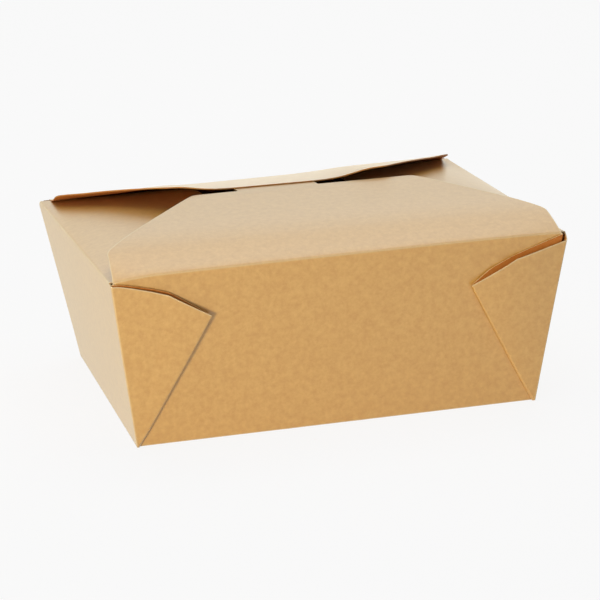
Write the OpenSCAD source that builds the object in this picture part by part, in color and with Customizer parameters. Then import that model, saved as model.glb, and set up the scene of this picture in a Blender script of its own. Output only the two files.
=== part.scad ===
// Takeaway box folded from one sheet of kraft board: a flared tray with
// doubled corner webs, two side flaps, a front flap with a tongue and a
// back flap that closes over it.

/* [Tray] */
// Width of the base
base_w = 152; // [120:1:180]
// Depth of the base
base_d = 120; // [90:1:150]
// Width across the rim
top_w = 172; // [160:1:200]
// Depth across the rim
top_d = 138; // [124:1:170]
// Height of the rim above the table
height = 65; // [45:1:90]
// Thickness of the board
board = 0.45; // [0.35:0.05:0.7]

/* [Corner webs] */
// Length of the diagonal fold, from the base corner to the tip
web_fold = 56; // [40:1:60]
// How far in from the corner the top edge of a web bends
web_bend_in = 23.5; // [15:0.5:30]
// How far that bend lies below the rim
web_bend_drop = 7; // [4:0.5:10]
// Gap between one folded layer and the next
layer_gap = 0.25; // [0.15:0.05:0.5]
// How far the outer layer of a tight web springs open
web_spring_tight = 0.5; // [0.3:0.1:1.5]
// How far the outer layer of a loose web springs open
web_spring_loose = 2.6; // [1:0.1:4]
// How far the top of a web stays below the rim
web_top_drop = 1.2; // [0.8:0.1:2]
// Hollow left inside the bend of a corner, at the rim
corner_gap = 1.2; // [0.8:0.1:2]

/* [Side flaps] */
// Reach of a side flap in from its crease
side_reach = 57; // [40:1:70]
// How far a side flap is cut back from the end of its crease
side_relief = 4; // [3:0.5:8]
// How much narrower it gets at each end by its free edge
side_taper = 7; // [0:0.5:15]
// Height that a side flap springs up to
side_crown = 7.5; // [4:0.5:9]
// Distance over which it springs up from its crease
side_curve = 20; // [15:1:30]
// How far its ends are held down under the long flaps
side_hold = 28; // [20:1:40]

/* [Front flap] */
// Distance of the shoulders from the front crease
front_reach = 66; // [55:1:68]
// Height that the front flap gains in the bend by its crease
front_bend = 6.4; // [5:0.1:8]
// Distance over which that bend fades
front_curve = 9; // [6:0.5:14]
// How much more it bends at its left end, and less at its right
front_skew = 1; // [0:0.1:1.5]
// Height that it gains beyond the bend, up to the shoulders
front_climb = 6.1; // [4:0.1:8]
// How far its short ends run in
front_end_taper = 0.3; // [0:0.1:4]
// Length of the tongue beyond the shoulders
tongue_reach = 16; // [8:1:20]
// Length over which the sides of the tongue run straight
tongue_straight = 7; // [2:0.5:8]
// How far the tongue narrows on each side towards its tip
tongue_taper = 3; // [0:0.5:6]
// Radius of the corners at the tip of the tongue
tongue_round = 2.5; // [1:0.5:3.5]
// How far the tip of the tongue is pressed down
tongue_drop = 4; // [3.5:0.1:6]
// Left edge of the tongue
tongue_left = -21.5; // [-30:0.5:-15]
// Right edge of the tongue
tongue_right = 10; // [5:0.5:25]
// Left end of the shoulders
shoulder_left = -39; // [-50:0.5:-32]
// Right end of the shoulders
shoulder_right = 47.5; // [35:0.5:55]

/* [Back flap] */
// Distance of the free edge from the back crease
back_reach = 66; // [55:1:68]
// How far its short ends run in
back_end_taper = 1.8; // [0:0.1:4]
// Height of the wings of the back flap above the rim
back_crown = 15.8; // [14:0.1:18]
// Distance over which the back flap curves up
back_curve = 110; // [80:5:150]
// Half width of the middle that is pressed down on the tongue
press_width = 36; // [30:1:45]
// Air between the pressed middle and the tongue
press_gap = 0.3; // [0.2:0.05:0.6]

/* [Both long flaps] */
// Length of the short ends of a long flap
flap_end = 15.5; // [10:0.5:22]
// Reach of the rounding on each side of the corner at the end of a short end
corner_round = 2.2; // [1:0.2:4]
// Radius of the corners beside the shoulders
shoulder_round = 5; // [2:0.5:8]
// Air between the crease of the back flap and the rim
crease_gap = 0.5; // [0.4:0.05:0.8]

/* [Hidden] */

kraft = [0.82, 0.63, 0.41];
kraft_light = [0.87, 0.79, 0.65];

half = board / 2;
rim_x = top_w / 2 - half;               // middle of the board at the rim
rim_y = top_d / 2 - half;
foot_x = base_w / 2 - half;
foot_y = base_d / 2 - half;
layer = board + layer_gap;              // pitch of folded layers
cross_steps = 30;                       // strips across the back flap
fold_foot = foot_x - layer;             // ends of a long wall, where its webs fold back
fold_rim = rim_x - board - corner_gap;

lean_x = (top_w - base_w) / 2;
lean_y = (top_d - base_d) / 2;
slant_x = norm([lean_x, height]);
slant_y = norm([lean_y, height]);

// Ways that the outer faces look: front wall, right wall, base, and any flap when flat
out_long = [0, -height, -lean_y] / slant_y;
out_short = [height, 0, -lean_x] / slant_x;
up = [0, 0, 1];

// One blank angle for every web: what the base and two walls leave free
web_half = (90 - atan(lean_x / slant_y) - atan(lean_y / slant_x)) / 2;
web_angle = web_half - atan(lean_x / slant_y);

// The board is described along its middle. A vertex is a pair: outer point, inner point.
function vertex(p, n) = [p + half * n, p - half * n];
function mitre(m, n) = (m + n) / (1 + m * n);
function unit(v) = v / norm(v);
function flip_x(v) = [for (p = v) [-p[0], p[1], p[2]]];
function flip_y(v) = [for (p = v) [p[0], -p[1], p[2]]];
function turn(v) = [for (p = v) [-p[0], -p[1], p[2]]];
function all_turned(list) = [for (t = list) [for (v = t) turn(v)]];
function reversed(list) = [for (i = [len(list) - 1 : -1 : 0]) list[i]];

// Board from triangles of vertices, counter-clockwise seen from outside, and closed along the
// loop of its cut edge, which runs the other way
module folded(tris, loop) {
    n = len(loop);
    outer = [for (t = tris) each [t[0][0], t[1][0], t[2][0]]];
    inner = [for (t = tris) each [t[0][1], t[2][1], t[1][1]]];
    edge = [for (i = [0 : n - 1]) let (p = loop[i], q = loop[(i + 1) % n])
        each [p[0], q[0], q[1], p[0], q[1], p[1]]];
    points = concat(outer, inner, edge);
    polyhedron(points, [for (i = [0 : 3 : len(points) - 1]) [i, i + 2, i + 1]], convexity = 8);
}

// Triangles between the rows of a grid, and a fan from one vertex to a row
function grid_tris(g) = [for (i = [0 : len(g) - 2]) for (j = [0 : len(g[i]) - 2])
    each [[g[i][j], g[i][j + 1], g[i + 1][j]], [g[i][j + 1], g[i + 1][j + 1], g[i + 1][j]]]];
function fan(v, row) = [for (i = [0 : len(row) - 2]) [v, row[i], row[i + 1]]];
function column(g, j) = [for (row = g) row[j]];

// Points on the front wall: along it from the middle, up its slope from the base, and out from it
function wall_point(u, v, out) = [
    u,
    -(foot_y + lean_y * v / slant_y + out * slant_y / height),
    half + (height - half) * v / slant_y];

// Way that the outer face of a long flap looks at its crease
flap_up = unit([0, -front_bend, front_curve]);

// The ten vertices of the front right corner, from the long wall through the web, which is
// folded double against that wall, to the short wall
FOOT = [0, 1, 2];
RIM = [3, 4, 5];
BEND = [6, 7];
TIP = [8, 9];
function corner(spring) =
    let (
        inner_foot = wall_point(fold_foot, 0, layer),
        outer_foot = wall_point(foot_x, 0, 2 * layer),
        rim = wall_point(fold_rim, slant_y, 0),
        inner_rim = wall_point(fold_rim, slant_y - web_top_drop, layer),
        outer_rim = wall_point(rim_x, slant_y, 2 * layer),
        bend = [rim_x - web_bend_in, slant_y - web_bend_drop],
        tip = [foot_x - web_fold * sin(web_angle), web_fold * cos(web_angle)],
        inward = unit(cross(rim - wall_point(fold_foot, 0, 0), out_long)) * -1,
        beyond = unit(cross(wall_point(tip[0], tip[1], layer) - inner_foot, out_long)) * -1
    ) [
        vertex(wall_point(fold_foot, 0, 0), [-1, -1, -1]),
        vertex(inner_foot, [-1, 1, -1]),
        vertex(outer_foot, [1, -1, -1]),
        vertex(rim, mitre(out_long, flap_up) + inward),
        vertex(inner_rim, mitre(-out_long, inward)),
        vertex(outer_rim, mitre(out_long, out_short)),
        vertex(wall_point(bend[0], bend[1], layer), -out_long),
        vertex(wall_point(bend[0] + spring, bend[1], 2 * layer + spring), out_long),
        vertex(wall_point(tip[0], tip[1], layer), mitre(-out_long, beyond)),
        vertex(wall_point(tip[0], tip[1], 2 * layer), mitre(out_long, beyond))];

function web_tris(c) = [
    [c[FOOT[0]], c[FOOT[1]], c[RIM[0]]], [c[RIM[0]], c[FOOT[1]], c[RIM[1]]],
    [c[FOOT[1]], c[BEND[0]], c[RIM[1]]], [c[FOOT[1]], c[TIP[0]], c[BEND[0]]],
    [c[FOOT[1]], c[FOOT[2]], c[TIP[0]]], [c[TIP[0]], c[FOOT[2]], c[TIP[1]]],
    [c[FOOT[2]], c[BEND[1]], c[TIP[1]]], [c[FOOT[2]], c[RIM[2]], c[BEND[1]]]];
function web_edge(c) = [for (i = [RIM[0], RIM[1], BEND[0], TIP[0], TIP[1], BEND[1], RIM[2]]) c[i]];
function mirrored(tris) = [for (t = tris) [flip_x(t[0]), flip_x(t[2]), flip_x(t[1])]];

// Height of each flap above the rim, from its distance d in from the crease
function curve_up(reach, d) = 1 - exp(-d / reach);
drop_start = front_reach - tongue_drop * 1.5;
front_tip = front_reach + tongue_reach;
function front_rise(x, d) =
    (front_bend - front_skew * x / rim_x) * curve_up(front_curve, d)
    + front_climb * pow(d / front_reach, 0.9)
    - tongue_drop * pow(max(0, d - drop_start) / (front_tip - drop_start), 2);
function side_rise(d, end) =
    side_crown * curve_up(side_curve, d) * (1 - exp(-pow(max(0, end) / side_hold, 1.5)));

// The back flap rises as one curve. Its middle is pressed down until it lies on the tongue.
function back_shape(d) = curve_up(back_curve, d) / curve_up(back_curve, back_reach);
middle = (tongue_left + tongue_right) / 2;
lap_start = min(back_reach, 2 * rim_y - front_tip);
pressed_crown = max([for (d = [lap_start : 1 : back_reach])
    (front_rise(tongue_left, min(front_tip, 2 * rim_y - d)) + board + press_gap) / back_shape(d)]);
function pressed(x) = exp(-pow((x - middle) / press_width, 4));
function back_rise(x, d) =
    back_shape(d) * (back_crown + (pressed_crown - back_crown) * pressed(x));

// Points and vertices of each flap, across it and in from its crease
function front_point(x, d) = [x, d - rim_y, height + front_rise(x, d)];
function back_point(x, d) = [x, rim_y - d, height + back_rise(x, d)];
function side_point(y, d) = [rim_x - d, y, height + side_rise(d, rim_y - abs(y))];
step = 0.5;                             // length over which a slope is measured
function lean(p, along, across) = let (n = unit(cross(along - p, across - p))) n * sign(n * up);
function front_vertex(x, d) = let (p = front_point(x, d))
    vertex(p, lean(p, front_point(x + step, d), front_point(x, d + step)));
function back_vertex(x, d) = let (p = back_point(x, d))
    vertex(p, lean(p, back_point(x + step, d), back_point(x, d + step)));
function side_vertex(y, d) = let (p = side_point(y, d))
    vertex(p, lean(p, side_point(y + step, d), side_point(y, d + step)));

// Side of a long flap at distance d: a straight end, a rounded corner, a chamfer, and an arc
// into the shoulder
function flap_side(d, end, corner_x, shoulder, reach) =
    let (
        end_slope = (corner_x - end) / flap_end,
        slope = (shoulder - corner_x) / (reach - flap_end),
        fall = norm([1, slope]),
        arc_y = reach - shoulder_round,
        arc_x = corner_x + slope * (arc_y - flap_end) - shoulder_round * fall,
        arc_start = arc_y - shoulder_round * slope / fall,
        turned = min(2 * corner_round, max(0, d - flap_end + corner_round))
    )
    d > arc_start ? arc_x + sqrt(max(0, pow(shoulder_round, 2) - pow(d - arc_y, 2)))
    : d > flap_end + corner_round ? corner_x + slope * (d - flap_end)
    : end + end_slope * d + (slope - end_slope) * pow(turned, 2) / (4 * corner_round);

// Rows of a long flap: close together where its side or its surface bends
function flap_rows(reach) =
    let (before = flap_end - corner_round, after = flap_end + corner_round)
    concat(
        [for (i = [1 : 5]) before * i / 5],
        [for (i = [1 : 4]) before + (after - before) * i / 4],
        [for (i = [1 : 6]) after + (reach - shoulder_round - after) * i / 6],
        [for (a = [15 : 15 : 90]) reach - shoulder_round + shoulder_round * sin(a)]);

loose = corner(web_spring_loose);
tight = corner(web_spring_tight);

// Front flap and tongue as two grids that share the shoulder row
front_crease = [
    flip_x(tight[RIM[0]]),
    vertex(front_point(tongue_left, 0), mitre(out_long, flap_up)),
    vertex(front_point(tongue_right, 0), mitre(out_long, flap_up)),
    loose[RIM[0]]];
front_grid = concat(
    [front_crease],
    [for (d = flap_rows(front_reach))
        let (corner_x = fold_rim - front_end_taper)
        [for (x = [-flap_side(d, fold_rim, corner_x, -shoulder_left, front_reach), tongue_left,
            tongue_right, flap_side(d, fold_rim, corner_x, shoulder_right, front_reach)])
            front_vertex(x, d)]]);
function tongue_side(d) =
    tongue_taper * max(0, d - tongue_straight) / (tongue_reach - tongue_straight)
    + tongue_round
    - sqrt(max(0, pow(tongue_round, 2) - pow(max(0, d - tongue_reach + tongue_round), 2)));
tongue_rows = concat(
    [for (i = [0 : 5]) (tongue_reach - tongue_round) * i / 5],
    [for (a = [22.5 : 22.5 : 90]) tongue_reach - tongue_round + tongue_round * sin(a)]);
tongue_grid = [for (d = tongue_rows)
    let (in = tongue_side(d))
    [for (x = [tongue_left + in, tongue_right - in]) front_vertex(x, front_reach + d)]];
front_loop = concat(
    [for (i = [1 : len(front_grid) - 1]) front_grid[i][0]],
    column(tongue_grid, 0),
    reversed(column(tongue_grid, 1)),
    [for (i = [len(front_grid) - 1 : -1 : 1]) front_grid[i][3]]);

// Right side flap, cut back from the ends of its crease
function side_row(d, n) =
    let (w = rim_y - side_relief - side_taper * d / side_reach)
    [for (j = [0 : n]) w * (2 * j / n - 1)];
side_steps = 16;                        // strips across a side flap
side_crease = [for (y = side_row(0, side_steps))
    vertex(side_point(y, 0), mitre(out_short, unit([side_crown, 0, 2 * side_curve])))];
side_grid = concat([side_crease],
    [for (i = [1 : 14])
        let (d = side_reach * pow(i / 14, 1.3))
        [for (y = side_row(d, side_steps)) side_vertex(y, d)]]);
side_flap_loop = concat(
    column(side_grid, 0),
    [for (j = [1 : side_steps - 1]) side_grid[len(side_grid) - 1][j]],
    reversed(column(side_grid, side_steps)));

// One long wall, its two webs and the short wall to its right; top is the row along its rim
function side_tris(top) = concat(
    [[flip_x(tight[FOOT[0]]), loose[FOOT[0]], loose[RIM[0]]]],
    fan(flip_x(tight[FOOT[0]]), reversed(top)),
    web_tris(loose),
    mirrored(web_tris(tight)),
    [[loose[FOOT[2]], flip_y(tight[FOOT[2]]), flip_y(tight[RIM[2]])]],
    fan(loose[FOOT[2]],
        reversed(concat([loose[RIM[2]]], side_crease, [flip_y(tight[RIM[2]])]))),
    grid_tris(side_grid));
// Cut edge from the right end of that rim to the left end of the next
side_loop = concat(
    web_edge(loose),
    side_flap_loop,
    [for (v = reversed(web_edge(tight))) flip_y(v)]);

// Feet of the walls, counter-clockwise seen from above
base_half = concat(
    [for (i = reversed(FOOT)) flip_x(tight[i])],
    [for (i = FOOT) loose[i]]);
base_outline = concat(base_half, [for (v = base_half) turn(v)]);
base_centre = vertex([0, 0, half], -up);

module carton() color(kraft) {
    back_top = [flip_x(tight[RIM[0]]), loose[RIM[0]]];
    folded(
        concat(
            side_tris(front_crease),
            grid_tris(front_grid),
            grid_tris(tongue_grid),
            all_turned(side_tris(back_top)),
            [for (t = fan(base_centre, concat(base_outline, [base_outline[0]]))) reversed(t)]),
        concat(front_loop, side_loop, [for (v = side_loop) turn(v)]));
}

module back_flap() color(kraft_light) {
    corner_x = fold_rim - back_end_taper;
    grid = [for (d = concat([crease_gap], flap_rows(back_reach)))
        let (
            left = -flap_side(d, fold_rim, corner_x, shoulder_right, back_reach),
            right = flap_side(d, fold_rim, corner_x, -shoulder_left, back_reach))
        [for (j = [0 : cross_steps]) back_vertex(right + (left - right) * j / cross_steps, d)]];
    last = len(grid) - 1;
    folded(grid_tris(grid), concat(
        column(grid, 0),
        [for (j = [1 : cross_steps - 1]) grid[last][j]],
        reversed(column(grid, cross_steps)),
        [for (j = [cross_steps - 1 : -1 : 1]) grid[0][j]]));
}

carton();
back_flap();
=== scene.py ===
import math

import bmesh
import bpy
import numpy as np
from mathutils import Matrix, Vector, noise


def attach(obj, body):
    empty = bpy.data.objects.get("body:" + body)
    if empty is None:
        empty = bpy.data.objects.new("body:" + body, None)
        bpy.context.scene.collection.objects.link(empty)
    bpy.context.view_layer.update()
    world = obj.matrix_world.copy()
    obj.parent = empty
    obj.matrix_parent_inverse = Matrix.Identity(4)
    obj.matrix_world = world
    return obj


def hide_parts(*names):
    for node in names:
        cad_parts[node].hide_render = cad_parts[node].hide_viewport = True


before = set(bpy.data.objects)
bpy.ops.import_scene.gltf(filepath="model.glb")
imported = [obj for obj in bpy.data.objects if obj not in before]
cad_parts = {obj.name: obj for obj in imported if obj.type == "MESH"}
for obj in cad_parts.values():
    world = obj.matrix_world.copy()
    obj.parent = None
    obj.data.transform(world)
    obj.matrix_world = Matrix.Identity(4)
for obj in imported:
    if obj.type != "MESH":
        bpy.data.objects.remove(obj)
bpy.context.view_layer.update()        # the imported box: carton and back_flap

print("frame loaded:", sorted(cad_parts))

# Sizes are in millimetres until a mesh is made. The box faces -y, and its origin is under its middle.
board = {
    "thick": 0.45,
    "layerGap": 0.25,        # air between folded layers
    "grid": 4.0,             # spacing of the points inside a panel
    "besideFold": [0.0, 0.22, 0.46, 0.78, 1.3, 2.2],      # rows next to a crease
    "weld": 0.004,           # points of two panels closer than this become one
    "foldBand": 0.6,         # how far a crease is rounded on each side
    "foldPasses": 6,
    "foldPull": 0.6,         # how far each pass moves a point on the crease
    "leastSpan": 0.05,       # points closer than this pull no harder
    "wornEdge": 0.45,        # width of the paler band beside a cut edge
    "sag": 0.14,             # soft waviness of the panels
    "sagLength": 55.0,
    "sagPlace": (3.1, 7.7, 1.3), "sagSeed": 6,      # the seed keeps it the same on every run
    "sagFrom": 12,           # it grows up to this height, so that the base lies flat
    "sharpAngle": 48,
}
half = board["thick"] / 2
layer = board["thick"] + board["layerGap"]
foldRows = np.array(board["besideFold"])

tray = {
    "baseWidth": 152, "baseDepth": 120,
    "rimWidth": 172, "rimDepth": 138, "height": 65,
    "baseTwist": -1.68,      # degrees that the base is turned under the rim
}
rimX, rimY = tray["rimWidth"] / 2 - half, tray["rimDepth"] / 2 - half
footX, footY = tray["baseWidth"] / 2 - half, tray["baseDepth"] / 2 - half
height = tray["height"]
leanX, leanY = rimX - footX, rimY - footY
slantX, slantY = math.hypot(leanX, height), math.hypot(leanY, height)


def point(x, y, z):
    return np.array([x, y, z], float)


def flipped(p, x, y):
    return point(p[0] * x, p[1] * y, p[2])


def lerp(a, b, t):
    return a + (b - a) * t


def limited(share):
    return min(1, max(0, share))


def curveUp(curve, d):
    return 1 - math.exp(-d / curve)


def steps(length, fineLow=True, fineHigh=True, grid=None):      # 0 to 1, finer beside folds
    low = foldRows if fineLow else foldRows[:1]
    high = length - foldRows[::-1] if fineHigh else np.array([length])
    count = max(2, int(round((high[0] - low[-1]) / (grid or board["grid"]))))
    return np.concatenate([low, np.linspace(low[-1], high[0], count + 1)[1:-1], high]) / length


def wallPoint(u, v, out=0.0):      # on the front wall: along it, up its slope, out from it
    y = footY + leanY * v / slantY + out * slantY / height
    return point(u, -y, half + (height - half) * v / slantY)


class Sheet:      # the middle of the board, before it is given its thickness
    def __init__(self):
        self.points, self.faces, self.folds = [], [], []

    def patch(self, rows):
        start = len(self.points)
        across = len(rows[0])
        for row in rows:
            self.points.extend(row)
        for i in range(len(rows) - 1):
            for j in range(across - 1):
                k = start + i * across + j
                self.faces.append([k, k + 1, k + across + 1, k + across])

    def polygon(self, corners):
        start = len(self.points)
        self.points.extend(corners)
        self.faces.append(list(range(start, start + len(corners))))

    def fold(self, a, b):
        self.folds.append((a, b))


wallRise = steps(slantY)      # the same rows on every wall and web

# Corner webs. The long wall is doubled back at its end and again at the web's tip.
web = {
    "fold": 56,              # length of the fold from the base corner to the tip
    "foldTurns": 7,          # points round a fold
    "foldFullAt": 9,         # a fold has its full width from 1/9 of its height
    "innerGrid": 2.6, "outerGrid": 1.7,
    "bulgeAt": 0.55,         # place of the inner layer's bulge, from its bend to the tip
    "springRise": 1.6,       # the outer layer stands off most at its top
    "springFall": 1.3,
    "dipWidth": 4,           # the short wall dips to the web this near to the corner
    "dipFall": 1.5,
}
looseWeb = {      # bend of a top edge: how far in from the corner and below the rim
    "innerBend": (21.9, 7.5), "innerDrop": 0.3, "innerBulge": 1.2,
    "outerBend": (21.8, 7.9), "outerDrop": 2.5,
    "spring": 1.6, "tipLift": 0.6, "cornerGap": 1.7,
}
tightWeb = {
    "innerBend": (21.4, 6.8), "innerDrop": 0.3, "innerBulge": 0.0,
    "outerBend": (21.6, 7.5), "outerDrop": 0.6,
    "spring": 0.7, "tipLift": 1.3, "cornerGap": 0.6,
}
foldFoot = footX - layer      # where the long wall is doubled back: at the base, and at the rim
foldRim = rimX - board["thick"] - looseWeb["cornerGap"]
tightRim = rimX - board["thick"] - tightWeb["cornerGap"]
webAngle = (math.pi / 2 - math.atan(leanX / slantY) - math.atan(leanY / slantX)) / 2
webAngle -= math.atan(leanX / slantY)
webFoot = [wallPoint(foldFoot, 0), wallPoint(foldFoot, 0, layer), wallPoint(footX, 0, 2 * layer)]
cornerTop = wallPoint(rimX, slantY, 2 * layer)


def edgeLength(corners):
    return sum(np.linalg.norm(b - a) for a, b in zip(corners, corners[1:]))


def alongEdge(corners, t):      # point at the share t of the way along a bent edge
    d = t * edgeLength(corners)
    for a, b in zip(corners, corners[1:]):
        span = np.linalg.norm(b - a)
        if d <= span:
            return lerp(a, b, d / span)
        d -= span
    return corners[-1]


def doubledBoard(inside, outside, way):      # folded flat on itself; the fold points to +x or -x
    outward = wallPoint(0, 0, 1) - wallPoint(0, 0)
    bulge = np.cross(outward, inside[1] - inside[0])
    bulge *= way * np.sign(bulge[0]) / np.linalg.norm(bulge)
    rows = []
    for s in wallRise:
        a, b = lerp(*inside, s), lerp(*outside, s)
        swell = layer / 2 * min(1, s * web["foldFullAt"])
        rows.append([lerp(a, b, (1 - math.cos(t)) / 2) + bulge * swell * math.sin(t)
                     for t in np.linspace(0, math.pi, web["foldTurns"])])
    return rows


def cornerPanels(cut):      # front right corner: the layers between the long and the short wall
    rimEnd = rimX - board["thick"] - cut["cornerGap"]
    rim = [wallPoint(rimEnd, slantY), wallPoint(rimEnd, slantY - cut["innerDrop"], layer),
           lerp(cornerTop, webFoot[2], cut["outerDrop"] / slantX)]
    tip = [footX - web["fold"] * math.sin(webAngle), web["fold"] * math.cos(webAngle)]
    innerTip, outerTip = (wallPoint(*tip, k * layer + cut["tipLift"]) for k in (1, 2))
    innerBend = wallPoint(rimX - cut["innerBend"][0], slantY - cut["innerBend"][1], layer)
    outerBend = wallPoint(rimX - cut["outerBend"][0], slantY - cut["outerBend"][1], 2 * layer)

    endFold = doubledBoard((webFoot[0], rim[0]), (webFoot[1], rim[1]), 1)
    tipFold = doubledBoard((webFoot[1], innerTip), (webFoot[2], outerTip), -1)

    upright = rim[0] - webFoot[0]
    upright /= np.linalg.norm(upright)
    bulge = lerp(innerBend, innerTip, web["bulgeAt"]) + upright * cut["innerBulge"]
    innerEdge = [rim[1], innerBend, bulge, innerTip]
    across = steps(edgeLength(innerEdge), False, False, web["innerGrid"])
    inner = [[lerp(webFoot[1], alongEdge(innerEdge, t), s) for t in across] for s in wallRise]

    outerEdge = [outerTip, outerBend, rim[2]]
    length = edgeLength(outerEdge)
    bendAt = edgeLength(outerEdge[:2]) / length
    across = np.unique(np.append(steps(length, False, True, web["outerGrid"]), bendAt))
    shift = wallPoint(1, 0, 1) - wallPoint(0, 0)      # it stands off the wall and to the corner
    outer = []
    for s in wallRise:
        row = []
        for t in across:
            if t < bendAt:
                opening = math.sin(math.pi / 2 * t / bendAt)
            else:
                opening = math.cos(math.pi / 2 * (t - bendAt) / (1 - bendAt)) ** web["springFall"]
            spring = shift * cut["spring"] * opening * s ** web["springRise"]
            row.append(lerp(webFoot[2], alongEdge(outerEdge, t), s) + spring)
        outer.append(row)
    foot = endFold[0] + tipFold[0][1:]      # closes the folds at the table
    return [endFold, inner, tipFold, outer], foot, rim[2]


def addCorners(sheet):
    for x, y, cut in ((1, 1, looseWeb), (-1, 1, tightWeb), (-1, -1, looseWeb), (1, -1, tightWeb)):
        panels, foot, top = cornerPanels(cut)
        for rows in panels:
            sheet.patch([[flipped(p, x, y) for p in row] for row in rows])
        sheet.polygon([flipped(p, x, y) for p in foot])
        sheet.fold(flipped(webFoot[2], x, y), flipped(top, x, y))


# Front flap. The back flap shares its outline. Distances are from the crease and along it.
frontFlap = {
    "reach": 66, "bend": 7.1, "curve": 15, "skew": 1, "climb": 5.4,
    "tongueReach": 16, "tongueStraight": 7, "tongueTaper": 3, "tipRound": 2.5,
    "tongueDrop": 4, "dropLead": 1.5,      # the drop starts this many times its depth before the tongue
    "tongueLeft": -21.5, "tongueRight": 10, "shoulderLeft": 39, "shoulderRight": 47.5,
    "end": 15.5, "endTaper": 0.3, "shoulderRound": 5, "cornerRound": 2.2,
}
flapGrid = {      # how many rows each part of a long flap has
    "near": 7, "corner": 7, "far": 12, "shoulder": 13,
    "shoulderLead": 3, "shoulderFrom": -30, "leastGap": 0.2,
    "tongue": 8, "tipAngles": [20, 40, 60, 75, 90],
}
frontTip = frontFlap["reach"] + frontFlap["tongueReach"]
dropStart = frontFlap["reach"] - frontFlap["tongueDrop"] * frontFlap["dropLead"]


def frontRise(x, d):
    f = frontFlap
    drop = max(0, d - dropStart) / (frontTip - dropStart)
    return ((f["bend"] - f["skew"] * x / rimX) * math.tanh(d / f["curve"])
            + f["climb"] * d / f["reach"] - f["tongueDrop"] * drop ** 2)


def frontPoint(x, d):
    return point(x, d - rimY, height + frontRise(x, d))


def flapSide(d, end, corner, shoulder, reach):      # straight end, chamfer, arc into the shoulder
    f = frontFlap
    slope = (shoulder - corner) / (reach - f["end"])
    fall = math.hypot(1, slope)
    arcY = reach - f["shoulderRound"]
    arcX = corner + slope * (arcY - f["end"]) - f["shoulderRound"] * fall
    arcStart = arcY - f["shoulderRound"] * slope / fall
    firstSlope = (corner - end) / f["end"]
    r = f["cornerRound"]
    if d < f["end"] - r:
        return end + firstSlope * d
    if d < f["end"] + r:
        return end + firstSlope * d + (slope - firstSlope) * (d - f["end"] + r) ** 2 / (4 * r)
    if d < arcStart:
        return corner + slope * (d - f["end"])
    return arcX + math.sqrt(max(0, f["shoulderRound"] ** 2 - (d - arcY) ** 2))


def flapRows(reach):      # finer at the crease, the corner and the shoulder
    end, r, arc = frontFlap["end"], frontFlap["cornerRound"], frontFlap["shoulderRound"]
    g = flapGrid
    near = np.linspace(foldRows[-1], end - r, g["near"])[1:]
    corner = np.linspace(end - r, end + r, g["corner"])[1:]
    far = np.linspace(end + r, reach - arc - g["shoulderLead"], g["far"])[1:]
    angles = np.radians(np.linspace(g["shoulderFrom"], 90, g["shoulder"]))
    shoulder = reach - arc + arc * np.sin(angles)
    shoulder = shoulder[shoulder > far[-1] + g["leastGap"]]
    return np.concatenate([foldRows, near, corner, far, shoulder])


# The columns of the long walls run on into the front flap, and the middle ones into its tongue.
creaseMarks = [-foldRim, frontFlap["tongueLeft"], frontFlap["tongueRight"], foldRim]
columns = []      # part of the crease, share of the way across it
for k, (fineLow, fineHigh) in enumerate([(True, False), (True, True), (False, True)]):
    shares = steps(creaseMarks[k + 1] - creaseMarks[k], fineLow, fineHigh)
    columns += [(k, t) for t in shares[(1 if k else 0):]]


def acrossMarks(marks):
    return [lerp(marks[k], marks[k + 1], t) for k, t in columns]


footColumns = [x * foldFoot / foldRim for x in acrossMarks(creaseMarks)]


def addLongWalls(sheet):
    tongueMarks = creaseMarks[1:3]
    for y, left, right in ((1, tightRim, foldRim), (-1, foldRim, tightRim)):
        rimColumns = acrossMarks([-left] + tongueMarks + [right])
        rows = [[flipped(lerp(wallPoint(low, 0), wallPoint(high, slantY), v), 1, y)
                 for low, high in zip(footColumns, rimColumns)] for v in wallRise]
        sheet.patch(rows)
        sheet.fold(rows[0][0], rows[0][-1])


def addFrontFlap(sheet):
    f = frontFlap
    sheet.fold(wallPoint(-tightRim, slantY), wallPoint(foldRim, slantY))
    rows = []
    corner = foldRim - f["endTaper"]
    for d in flapRows(f["reach"]):
        left = -flapSide(d, tightRim, corner, f["shoulderLeft"], f["reach"])
        right = flapSide(d, foldRim, corner, f["shoulderRight"], f["reach"])
        marks = [left, f["tongueLeft"], f["tongueRight"], right]
        rows.append([frontPoint(x, d) for x in acrossMarks(marks)])
    sheet.patch(rows)

    rows = []
    length, r = f["tongueReach"], f["tipRound"]
    across = [0.0] + [t for k, t in columns if k == 1]
    straight = np.linspace(0, length - r, flapGrid["tongue"])
    rounded = length - r + r * np.sin(np.radians(flapGrid["tipAngles"]))
    for d in np.concatenate([straight, rounded]):
        inset = f["tongueTaper"] * max(0, d - f["tongueStraight"]) / (length - f["tongueStraight"])
        inset += r - math.sqrt(max(0, r * r - max(0, d - length + r) ** 2))
        left, right = f["tongueLeft"] + inset, f["tongueRight"] - inset
        rows.append([frontPoint(lerp(left, right, t), f["reach"] + d) for t in across])
    sheet.patch(rows)


# Side flaps. Their ends are cut back at the crease, and the long flaps over them hold these down.
sideFlap = {
    "reach": 57, "relief": 1.6, "taper": 7, "crown": 7.5, "curve": 20,
    "hold": 28, "holdFall": 1.5,
    "besideEnd": [0, 0.5, 1.2, 3], "columns": 33,
    "rows": 19, "lastRow": 0.4,
}
wallEnd = abs(cornerTop[1])
flapEnd = rimY - sideFlap["relief"]
endColumns = steps(wallEnd - flapEnd, True, False, 1.0) * (wallEnd - flapEnd) - wallEnd
*nearEnd, lastNear = flapEnd - np.array(sideFlap["besideEnd"])
flapColumns = np.concatenate([-np.array(nearEnd), np.linspace(-lastNear, lastNear, sideFlap["columns"]),
                              nearEnd[::-1]])
wallColumns = np.concatenate([endColumns[:-1], flapColumns, -endColumns[::-1][1:]])
wallShares = (wallColumns + wallEnd) / (2 * wallEnd)


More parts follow.
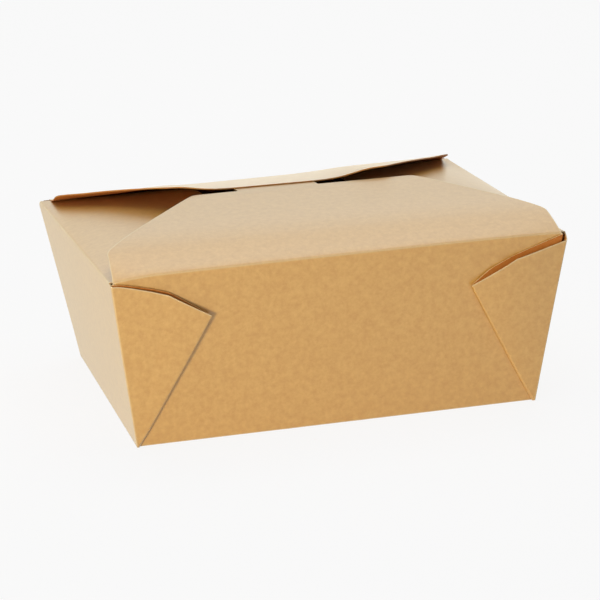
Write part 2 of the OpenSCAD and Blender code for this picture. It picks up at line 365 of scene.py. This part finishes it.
def sideRise(d, fromEnd):
    s = sideFlap
    held = math.exp(-(max(0, fromEnd) / s["hold"]) ** s["holdFall"])
    return s["crown"] * curveUp(s["curve"], d) * (1 - held)


def addShortWalls(sheet):
    s = sideFlap
    inward = np.linspace(foldRows[-1], s["reach"] - s["lastRow"], s["rows"])[1:]
    inward = np.concatenate([foldRows, inward, [s["reach"]]])
    for x in (1, -1):
        rows = []
        for v in wallRise:
            row = []
            for share, y in zip(wallShares, wallColumns):
                low = lerp(webFoot[2], flipped(webFoot[2], 1, -1), share)
                high = lerp(cornerTop, flipped(cornerTop, 1, -1), share)
                cut = looseWeb if y * x < 0 else tightWeb
                toEnd = min(1, (wallEnd - abs(y)) / web["dipWidth"])
                dip = cut["outerDrop"] * (1 - toEnd) ** web["dipFall"]
                row.append(flipped(lerp(low, high, v * (1 - dip / slantX)), x, 1))
            rows.append(row)
        sheet.patch(rows)
        sheet.fold(rows[0][0], rows[0][-1])

        rows = []
        for d in inward:
            narrower = (flapEnd - s["taper"] * d / s["reach"]) / flapEnd
            row = []
            for y in flapColumns * narrower:
                top = height + sideRise(d, rimY - abs(y))
                row.append(flipped(point(rimX - d, y, top), x, 1))
            rows.append(row)
        sheet.patch(rows)
        sheet.fold(rows[0][0], rows[0][-1])


def addBase(sheet):
    baseRows = [lerp(webFoot[2][1], -webFoot[2][1], share) for share in wallShares]
    inset = footY / abs(webFoot[2][1])      # the long walls stand inside the webs
    sheet.patch([[point(x, y * inset, half) for x in footColumns] for y in baseRows])
    for x in (1, -1):
        sheet.patch([[point(x * foldFoot, y * inset, half), point(x * footX, y, half)] for y in baseRows])


def foldTheCarton():
    sheet = Sheet()
    addCorners(sheet)
    addLongWalls(sheet)
    addFrontFlap(sheet)
    addShortWalls(sheet)
    addBase(sheet)
    return sheet


# Back flap. It is pressed down over the tongue, and its two sides stand up as wings.
backFlap = {
    "reach": 66, "crownLeft": 15.7, "crownRight": 14.9, "curve": 110, "endTaper": 1.8,
    "leftRelief": 2.0, "rightRelief": 0.2,      # how far the ends are cut back at the crease
    "pressWidth": 33, "pressFall": 6, "pressGap": 0.04,
    "tipCurl": 0.7, "curlAt": (82, 17), "curlSize": (12, 9),      # the wings' outer corners
    "leftHollow": 1.2, "hollowFrom": 38, "hollowFade": 20,        # a dent in the left wing
    "grid": 2.4,
}
lapStart = min(backFlap["reach"], 2 * rimY - frontTip)


def backShape(d):
    return curveUp(backFlap["curve"], d) / curveUp(backFlap["curve"], backFlap["reach"])


def crownOverTongue(x):      # the least crown that stays clear of the tongue
    clear = board["thick"] + backFlap["pressGap"]
    return max((frontRise(x, min(frontTip, 2 * rimY - d)) + clear) / backShape(d)
               for d in np.arange(lapStart, backFlap["reach"] + 0.01, 1))


pressed = [crownOverTongue(frontFlap["tongueLeft"]), crownOverTongue(frontFlap["tongueRight"])]


def backRise(x, d):
    b = backFlap
    left, right = frontFlap["tongueLeft"], frontFlap["tongueRight"]
    crown = lerp(b["crownLeft"], b["crownRight"], limited((x + rimX) / (2 * rimX)))
    press = math.exp(-((x - (left + right) / 2) / b["pressWidth"]) ** b["pressFall"])
    low = lerp(pressed[0], pressed[1], (x - left) / (right - left))
    curlX = (abs(x) - b["curlAt"][0]) / b["curlSize"][0]
    curlY = (d - b["curlAt"][1]) / b["curlSize"][1]
    curl = b["tipCurl"] * math.exp(-curlX ** 2 - curlY ** 2)
    share = min(1, (foldRim - abs(x)) / (foldRim - frontFlap["shoulderRight"]))
    freeEdge = lerp(frontFlap["end"], b["reach"], share)
    wing = limited((-x - b["hollowFrom"]) / b["hollowFade"])
    hollow = b["leftHollow"] * wing * math.sin(math.pi * limited(d / freeEdge))
    return backShape(d) * lerp(crown, low, press) + curl - hollow


def foldTheBackFlap():
    sheet = Sheet()
    f, b = frontFlap, backFlap
    corner = foldRim - b["endTaper"]
    across = steps(2 * foldRim, True, True, b["grid"])
    rows = []
    for d in flapRows(b["reach"]):
        right = flapSide(d, foldRim - b["rightRelief"], corner, f["shoulderLeft"], b["reach"])
        left = -flapSide(d, foldRim - b["leftRelief"], corner, f["shoulderRight"], b["reach"])
        rows.append([point(x, rimY - d, height + backRise(x, d)) for x in lerp(left, right, across)])
    sheet.patch(rows)
    return sheet


def toSegment(p, a, b):      # distance of each point from one line
    ab = b - a
    t = np.clip(((p - a) @ ab) / (ab @ ab), 0, 1)
    return np.linalg.norm(p - (a + t[:, None] * ab), axis=1)


def besideCut(p, cutEdges):      # 1 on a cut edge, 0 from the worn width on
    share = np.zeros(len(p))
    reach = 1.5 * board["grid"]
    for a, b in cutEdges:
        near = np.nonzero(np.abs(p - p[a]).max(axis=1) < reach)[0]
        share[near] = np.maximum(share[near], 1 - toSegment(p[near], p[a], p[b]) / board["wornEdge"])
    return share


def weldedMesh(name, sheet):
    mesh = bpy.data.meshes.new(name)
    mesh.from_pydata([tuple(p) for p in sheet.points], [], sheet.faces)
    work = bmesh.new()
    work.from_mesh(mesh)
    bmesh.ops.remove_doubles(work, verts=work.verts, dist=board["weld"])
    loners = [v for v in work.verts if not v.link_faces]
    bmesh.ops.delete(work, geom=loners, context="VERTS")
    bmesh.ops.recalc_face_normals(work, faces=work.faces)
    print(name, "welded:", len(work.verts), "points", len(work.faces), "faces")
    work.to_mesh(mesh)
    work.free()
    return mesh


def roundFolds(p, edges, cut, folds):      # smooths across the creases only
    onCut = np.zeros(len(p), bool)
    onCut[edges[cut].ravel()] = True
    weight = np.zeros(len(p))
    for a, b in folds:
        weight = np.maximum(weight, np.clip(1 - toSegment(p, a, b) / board["foldBand"], 0, 1))
    i = np.concatenate([edges[:, 0], edges[:, 1]])
    j = np.concatenate([edges[:, 1], edges[:, 0]])
    keep = np.where(onCut[i], np.concatenate([cut, cut]), True)      # an outline stays one
    i, j = i[keep], j[keep]
    pull = 1 / np.maximum(np.linalg.norm(p[i] - p[j], axis=1), board["leastSpan"])
    total = np.bincount(i, pull, len(p))
    move = (weight > 0) & (total > 0)
    for _ in range(board["foldPasses"] if folds else 0):
        mean = np.stack([np.bincount(i, pull * p[j, k], len(p)) for k in range(3)], 1)
        mean[move] /= total[move, None]
        p[move] += (mean[move] - p[move]) * (board["foldPull"] * np.sqrt(weight[move]))[:, None]
    return weight ** 2      # how creased each point is


# The front crease bows up between its ends, and takes the wall and the flap beside it along.
creaseBow = {
    "lift": [1.3, -0.55, -0.35],      # middle, slope and bend along the crease
    "downWall": 16, "overFlap": 7,
    "depth": 22, "depthFade": 20,
    "pastEnd": 1, "endFade": 14,
}


def bowLift(p):
    x, y, z = p.T
    bow = creaseBow
    share = x / foldRim
    lift = bow["lift"][0] + bow["lift"][1] * share + bow["lift"][2] * share ** 2
    fromCrease = np.where(z <= height, (height - z) / bow["downWall"], (y + rimY) / bow["overFlap"])
    lift *= np.exp(-fromCrease ** 2) * np.clip((-y - rimY + bow["depth"]) / bow["depthFade"], 0, 1)
    return lift * np.clip((foldRim + bow["pastEnd"] - abs(x)) / bow["endFade"], 0, 1) ** 0.5


def twistBase(p):      # the base is turned a little under the rim
    x, y = p[:, 0].copy(), p[:, 1].copy()
    turn = math.radians(tray["baseTwist"]) * np.clip(1 - p[:, 2] / height, 0, 1)
    p[:, 0] = x * np.cos(turn) - y * np.sin(turn)
    p[:, 1] = x * np.sin(turn) + y * np.cos(turn)


def addWaviness(p):      # the same for layers that lie together
    noise.seed_set(board["sagSeed"])
    for k, q in enumerate(p):
        wave = noise.noise_vector(Vector(q / board["sagLength"]) + Vector(board["sagPlace"]))
        p[k] += np.array(wave) * board["sag"] * min(1, q[2] / board["sagFrom"])


def boardMesh(name, sheet, bowed=False):      # the sheet with its thickness and its cut edges
    mesh = weldedMesh(name, sheet)
    p = np.array([v.co[:] for v in mesh.vertices])
    edges = np.array([e.vertices[:] for e in mesh.edges])
    key = {tuple(sorted(e)): k for k, e in enumerate(map(tuple, edges))}
    count = np.zeros(len(edges), int)
    for face in mesh.polygons:
        for edge in face.edge_keys:
            count[key[edge]] += 1
    cut = count == 1

    crease = roundFolds(p, edges, cut, sheet.folds)
    lift = bowLift(p) if bowed else 0
    twistBase(p)
    p[:, 2] += lift
    addWaviness(p)
    mesh.vertices.foreach_set("co", p.ravel())
    mesh.update()
    normals = np.array([v.normal[:] for v in mesh.vertices])
    faces = [tuple(face.vertices) for face in mesh.polygons]
    if max(mesh.polygons, key=lambda face: face.center[2]).normal[2] <= 0:      # turn the outside out
        normals = -normals
        faces = [face[::-1] for face in faces]

    shift = len(p)
    inside = [tuple(v + shift for v in face[::-1]) for face in faces]
    rim = []
    for face in faces:
        for a, b in zip(face, face[1:] + face[:1]):
            if cut[key[tuple(sorted((a, b)))]]:
                rim.append((b, a, a + shift, b + shift))
    both = np.concatenate([p + normals * half, p - normals * half]) / 1000
    solid = bpy.data.meshes.new(name)
    solid.from_pydata([tuple(q) for q in both], [], faces + inside + rim)
    solid.polygons.foreach_set("material_index", [0] * len(faces) + [2] * len(faces) + [1] * len(rim))
    for attribute, share in (("crease", crease), ("cut", besideCut(p, edges[cut]))):
        marks = solid.attributes.new(attribute, "FLOAT", "POINT")
        marks.data.foreach_set("value", np.concatenate([share, share]))
    solid.shade_smooth()
    solid.set_sharp_from_angle(angle=math.radians(board["sharpAngle"]))
    solid.validate()
    bpy.data.meshes.remove(mesh)
    piece = bpy.data.objects.new(name, solid)
    bpy.context.scene.collection.objects.link(piece)
    print(name, "made:", len(solid.polygons), "faces")
    return piece


carton = boardMesh("folded_carton", foldTheCarton(), bowed=True)
flap = boardMesh("folded_back_flap", foldTheBackFlap())
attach(carton, "carton")
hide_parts("carton")
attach(flap, "back_flap")
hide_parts("back_flap")

# Kraft board: clouds and fine fibre in three tones, from deep to pale. The inner face is deeper and
# redder, partly the board's own inner side and partly painted shade for the wing undersides, which lie in
# shade. The back flap's cut edge is painted shade.
kraft = {
    "face": [(0.565, 0.264, 0.048), (0.610, 0.304, 0.066), (0.660, 0.346, 0.088)],
    "cutEdge": [(0.660, 0.346, 0.088), (0.740, 0.520, 0.260), (0.740, 0.520, 0.260)],
    # painted shade: the back flap's cut edge is darker and redder than the carton's cut edge because it
    # lies in shade under the wings
    "shadedFlapEdge": [(0.520, 0.170, 0.024), (0.480, 0.200, 0.040), (0.565, 0.264, 0.048)],
    # partly the inner side's own colour, partly painted shade: deeper and redder because the wing
    # undersides are seen in shade
    "inside": [(0.470, 0.148, 0.017), (0.520, 0.170, 0.024), (0.560, 0.192, 0.032)],
    "shadesAt": [0.54, 0.73, 0.92],
    "cloud": {"Scale": 420.0, "Detail": 6.0, "Roughness": 0.66},
    "fibre": {"Scale": 900.0, "Detail": 4.0, "Roughness": 0.65},
    "grain": 0.45,           # weight of the fine fibre in the colour
    "bump": {"Strength": 0.12, "Distance": 0.0002},
    # a pale colour: worn board beside the cut edges, and along the creases partly wear and partly a
    # painted highlight
    "paleWornAndHighlight": (0.800, 0.640, 0.400),
    "wearAndHighlight": {"cut": 0.7, "crease": 0.45},      # how much of the pale colour shows there: wear beside the cut edges; along the creases partly wear, partly a painted highlight
    "outerFinish": {
        "Roughness": 0.34, "Specular IOR Level": 1.0,
        "Sheen Weight": 0.15, "Sheen Roughness": 0.5, "Sheen Tint": (1.0, 0.96, 0.55, 1.0),
        "Coat Weight": 0.65, "Coat Roughness": 0.33, "Coat Tint": (0.97, 1.0, 0.83, 1.0),
    },
    "innerFinish": {"Roughness": 0.55, "Specular IOR Level": 0.3},
}


def linear(colour):
    return (*colour, 1.0)


def emptyNodes(owner):
    owner.use_nodes = True
    owner.node_tree.nodes.clear()
    return owner.node_tree.nodes, owner.node_tree.links


def add(nodes, kind, place, **sockets):      # a node with values on its sockets
    node = nodes.new(kind)
    node.location = place
    for name, value in sockets.items():
        node.inputs[name].default_value = value
    return node


def addMath(nodes, place, operation):
    node = add(nodes, "ShaderNodeMath", place)
    node.operation = operation
    return node


def wornAndHighlightShare(nodes, links, place, attribute, amount):
    mark = add(nodes, "ShaderNodeAttribute", place)
    mark.attribute_name = attribute
    share = addMath(nodes, (place[0] + 200, place[1]), "MULTIPLY")
    share.inputs[1].default_value = amount
    links.new(mark.outputs["Fac"], share.inputs[0])
    return share.outputs[0]


def kraftMaterial(name, shades, finish, wearAndHighlight):
    material = bpy.data.materials.new(name)
    nodes, links = emptyNodes(material)
    out = add(nodes, "ShaderNodeOutputMaterial", (900, 0))
    shader = add(nodes, "ShaderNodeBsdfPrincipled", (600, 0), **finish)
    links.new(shader.outputs[0], out.inputs[0])
    place = add(nodes, "ShaderNodeTexCoord", (-900, 0))
    cloud = add(nodes, "ShaderNodeTexNoise", (-650, 200), **kraft["cloud"])
    fibre = add(nodes, "ShaderNodeTexNoise", (-650, -100), **kraft["fibre"])
    links.new(place.outputs["Object"], cloud.inputs["Vector"])
    links.new(place.outputs["Object"], fibre.inputs["Vector"])
    grain = addMath(nodes, (-450, 120), "MULTIPLY_ADD")      # fine fibre over the clouds
    grain.inputs[1].default_value = kraft["grain"]
    links.new(fibre.outputs["Fac"], grain.inputs[0])
    links.new(cloud.outputs["Fac"], grain.inputs[2])
    ramp = add(nodes, "ShaderNodeValToRGB", (-250, 200))
    ramp.color_ramp.elements.new(kraft["shadesAt"][1])
    for element, position, shade in zip(ramp.color_ramp.elements, kraft["shadesAt"], shades):
        element.position = position
        element.color = linear(shade)
    links.new(grain.outputs[0], ramp.inputs["Fac"])

    colour = ramp.outputs["Color"]
    # pale bands: wear at the cut edges, and at the creases wear together with a painted highlight
    for k, (attribute, amount) in enumerate(wearAndHighlight.items()):
        blend = add(nodes, "ShaderNodeMix", (100 + 200 * k, 100))
        blend.data_type = "RGBA"
        blend.inputs[7].default_value = linear(kraft["paleWornAndHighlight"])
        share = wornAndHighlightShare(nodes, links, (-300, -200 - 200 * k), attribute, amount)
        links.new(share, blend.inputs[0])
        links.new(colour, blend.inputs[6])
        colour = blend.outputs[2]
    links.new(colour, shader.inputs["Base Color"])
    bump = add(nodes, "ShaderNodeBump", (300, -250), **kraft["bump"])
    links.new(fibre.outputs["Fac"], bump.inputs["Height"])
    links.new(bump.outputs["Normal"], shader.inputs["Normal"])
    return material


faceMaterial = kraftMaterial("kraft_face", kraft["face"], kraft["outerFinish"], kraft["wearAndHighlight"])
edgeMaterial = kraftMaterial("kraft_cut_edge", kraft["cutEdge"], kraft["innerFinish"], {})
# the back flap's cut edge carries painted shade
shadedFlapEdgeMaterial = kraftMaterial("kraft_flap_edge_painted_shade", kraft["shadedFlapEdge"], kraft["innerFinish"], {})
# the inner faces: partly their own colour, partly painted shade
insideAndShadeMaterial = kraftMaterial("kraft_inside_and_painted_shade", kraft["inside"], kraft["innerFinish"], {})
for piece, edge in ((carton, edgeMaterial), (flap, shadedFlapEdgeMaterial)):
    for material in (faceMaterial, edge, insideAndShadeMaterial):
        piece.data.materials.append(material)
print("kraft materials made")

# Studio. Places and sizes here are in metres.
studio = {
    "world": 0.2, "backdrop": 1.0,
    "lamps": {      # place, width, height, power
        "over": ((0.0, 0.1, 1.2), 1.2, 1.2, 5.2),
        "shoulder": ((0.2, 0.8, 0.95), 1.1, 1.1, 2.8),
        "behind": ((0.1, 1.2, 0.06), 1.2, 0.1, 0.45),
        "left": ((-0.66, -0.70, 0.06), 0.2, 0.12, 5.7),
        "front": ((-0.3, -1.1, 0.06), 0.9, 0.1, 0.5),
    },
    "floor": (0.9, 0.9, 0.9), "floorHalf": 4,
    "floorGlow": 0.88,       # how much of the floor that the camera sees is plain white
}


def whiteForRays(nodes, links, shader, white, forCamera):      # white in the view and in reflections
    ray = add(nodes, "ShaderNodeLightPath", (-600, 100))
    seen = addMath(nodes, (-400, 150), "MULTIPLY")
    seen.inputs[1].default_value = forCamera
    links.new(ray.outputs["Is Camera Ray"], seen.inputs[0])
    for k, kind in enumerate(["Is Glossy Ray", "Is Transmission Ray"]):
        larger = addMath(nodes, (-200 + 200 * k, 150), "MAXIMUM")
        links.new(seen.outputs[0], larger.inputs[0])
        links.new(ray.outputs[kind], larger.inputs[1])
        seen = larger
    mix = add(nodes, "ShaderNodeMixShader", (250, 0))
    links.new(seen.outputs[0], mix.inputs[0])
    links.new(shader.outputs[0], mix.inputs[1])
    links.new(white.outputs[0], mix.inputs[2])
    return mix.outputs[0]


floorCorners = [(x * studio["floorHalf"], y * studio["floorHalf"], 0)
                for x, y in ((-1, -1), (1, -1), (1, 1), (-1, 1))]
floorMesh = bpy.data.meshes.new("floor")
floorMesh.from_pydata(floorCorners, [], [(0, 1, 2, 3)])
floor = bpy.data.objects.new("floor", floorMesh)
bpy.context.scene.collection.objects.link(floor)
floorMaterial = bpy.data.materials.new("pale_floor")
nodes, links = emptyNodes(floorMaterial)
floorOut = add(nodes, "ShaderNodeOutputMaterial", (450, 0))
floorShader = add(nodes, "ShaderNodeBsdfDiffuse", (0, 0), Color=linear(studio["floor"]))
floorWhite = add(nodes, "ShaderNodeEmission", (0, -150))
floorMix = whiteForRays(nodes, links, floorShader, floorWhite, studio["floorGlow"])
links.new(floorMix, floorOut.inputs[0])
floorMesh.materials.append(floorMaterial)

world = bpy.data.worlds.new("studio")
bpy.context.scene.world = world
nodes, links = emptyNodes(world)
worldOut = add(nodes, "ShaderNodeOutputWorld", (450, 0))
sky = add(nodes, "ShaderNodeBackground", (0, 0), Color=(1, 1, 1, 1), Strength=studio["world"])
backdrop = add(nodes, "ShaderNodeBackground", (0, -150), Color=(1, 1, 1, 1), Strength=studio["backdrop"])
links.new(whiteForRays(nodes, links, sky, backdrop, 1.0), worldOut.inputs[0])


def areaLamp(name, place, width, high, power):      # aimed at the middle of the box
    lamp = bpy.data.lights.new(name, "AREA")
    lamp.shape = "RECTANGLE"
    lamp.size, lamp.size_y, lamp.energy = width, high, power
    softbox = bpy.data.objects.new(name, lamp)
    softbox.location = place
    aim = Vector((0, 0, height / 2000)) - Vector(place)
    softbox.rotation_euler = aim.to_track_quat("-Z", "Y").to_euler()
    softbox.visible_camera = False
    bpy.context.scene.collection.objects.link(softbox)


for name, values in studio["lamps"].items():
    areaLamp(name + "_softbox", *values)

# Camera, from the perspective of the photo. Angles in degrees, focal length in pixels.
camera = {
    "azimuth": -15.104, "elevation": 15.631, "roll": -2.515,
    "distance": 1042.229, "right": 0.305, "up": 30.355,
    "focal": 2671.339, "imageWidth": 600, "sensor": 36.0, "clipStart": 0.05,
}
azimuth, elevation, roll = (math.radians(camera[k]) for k in ("azimuth", "elevation", "roll"))
back = Vector((math.sin(azimuth) * math.cos(elevation), -math.cos(azimuth) * math.cos(elevation),
               math.sin(elevation)))
levelRight = Vector((math.cos(azimuth), math.sin(azimuth), 0))
levelUp = back.cross(levelRight)
right = math.cos(roll) * levelRight + math.sin(roll) * levelUp
up = math.cos(roll) * levelUp - math.sin(roll) * levelRight
place = back * camera["distance"] + right * camera["right"] + up * camera["up"]
lens = bpy.data.cameras.new("camera")
lens.sensor_width = camera["sensor"]
lens.lens = camera["focal"] / camera["imageWidth"] * camera["sensor"]
lens.clip_start = camera["clipStart"]
eye = bpy.data.objects.new("camera", lens)
eye.matrix_world = Matrix.Translation(place / 1000) @ Matrix((right, up, back)).transposed().to_4x4()
bpy.context.scene.collection.objects.link(eye)
bpy.context.scene.camera = eye
bpy.context.scene.view_settings.view_transform = "Standard"
print("studio and camera made")
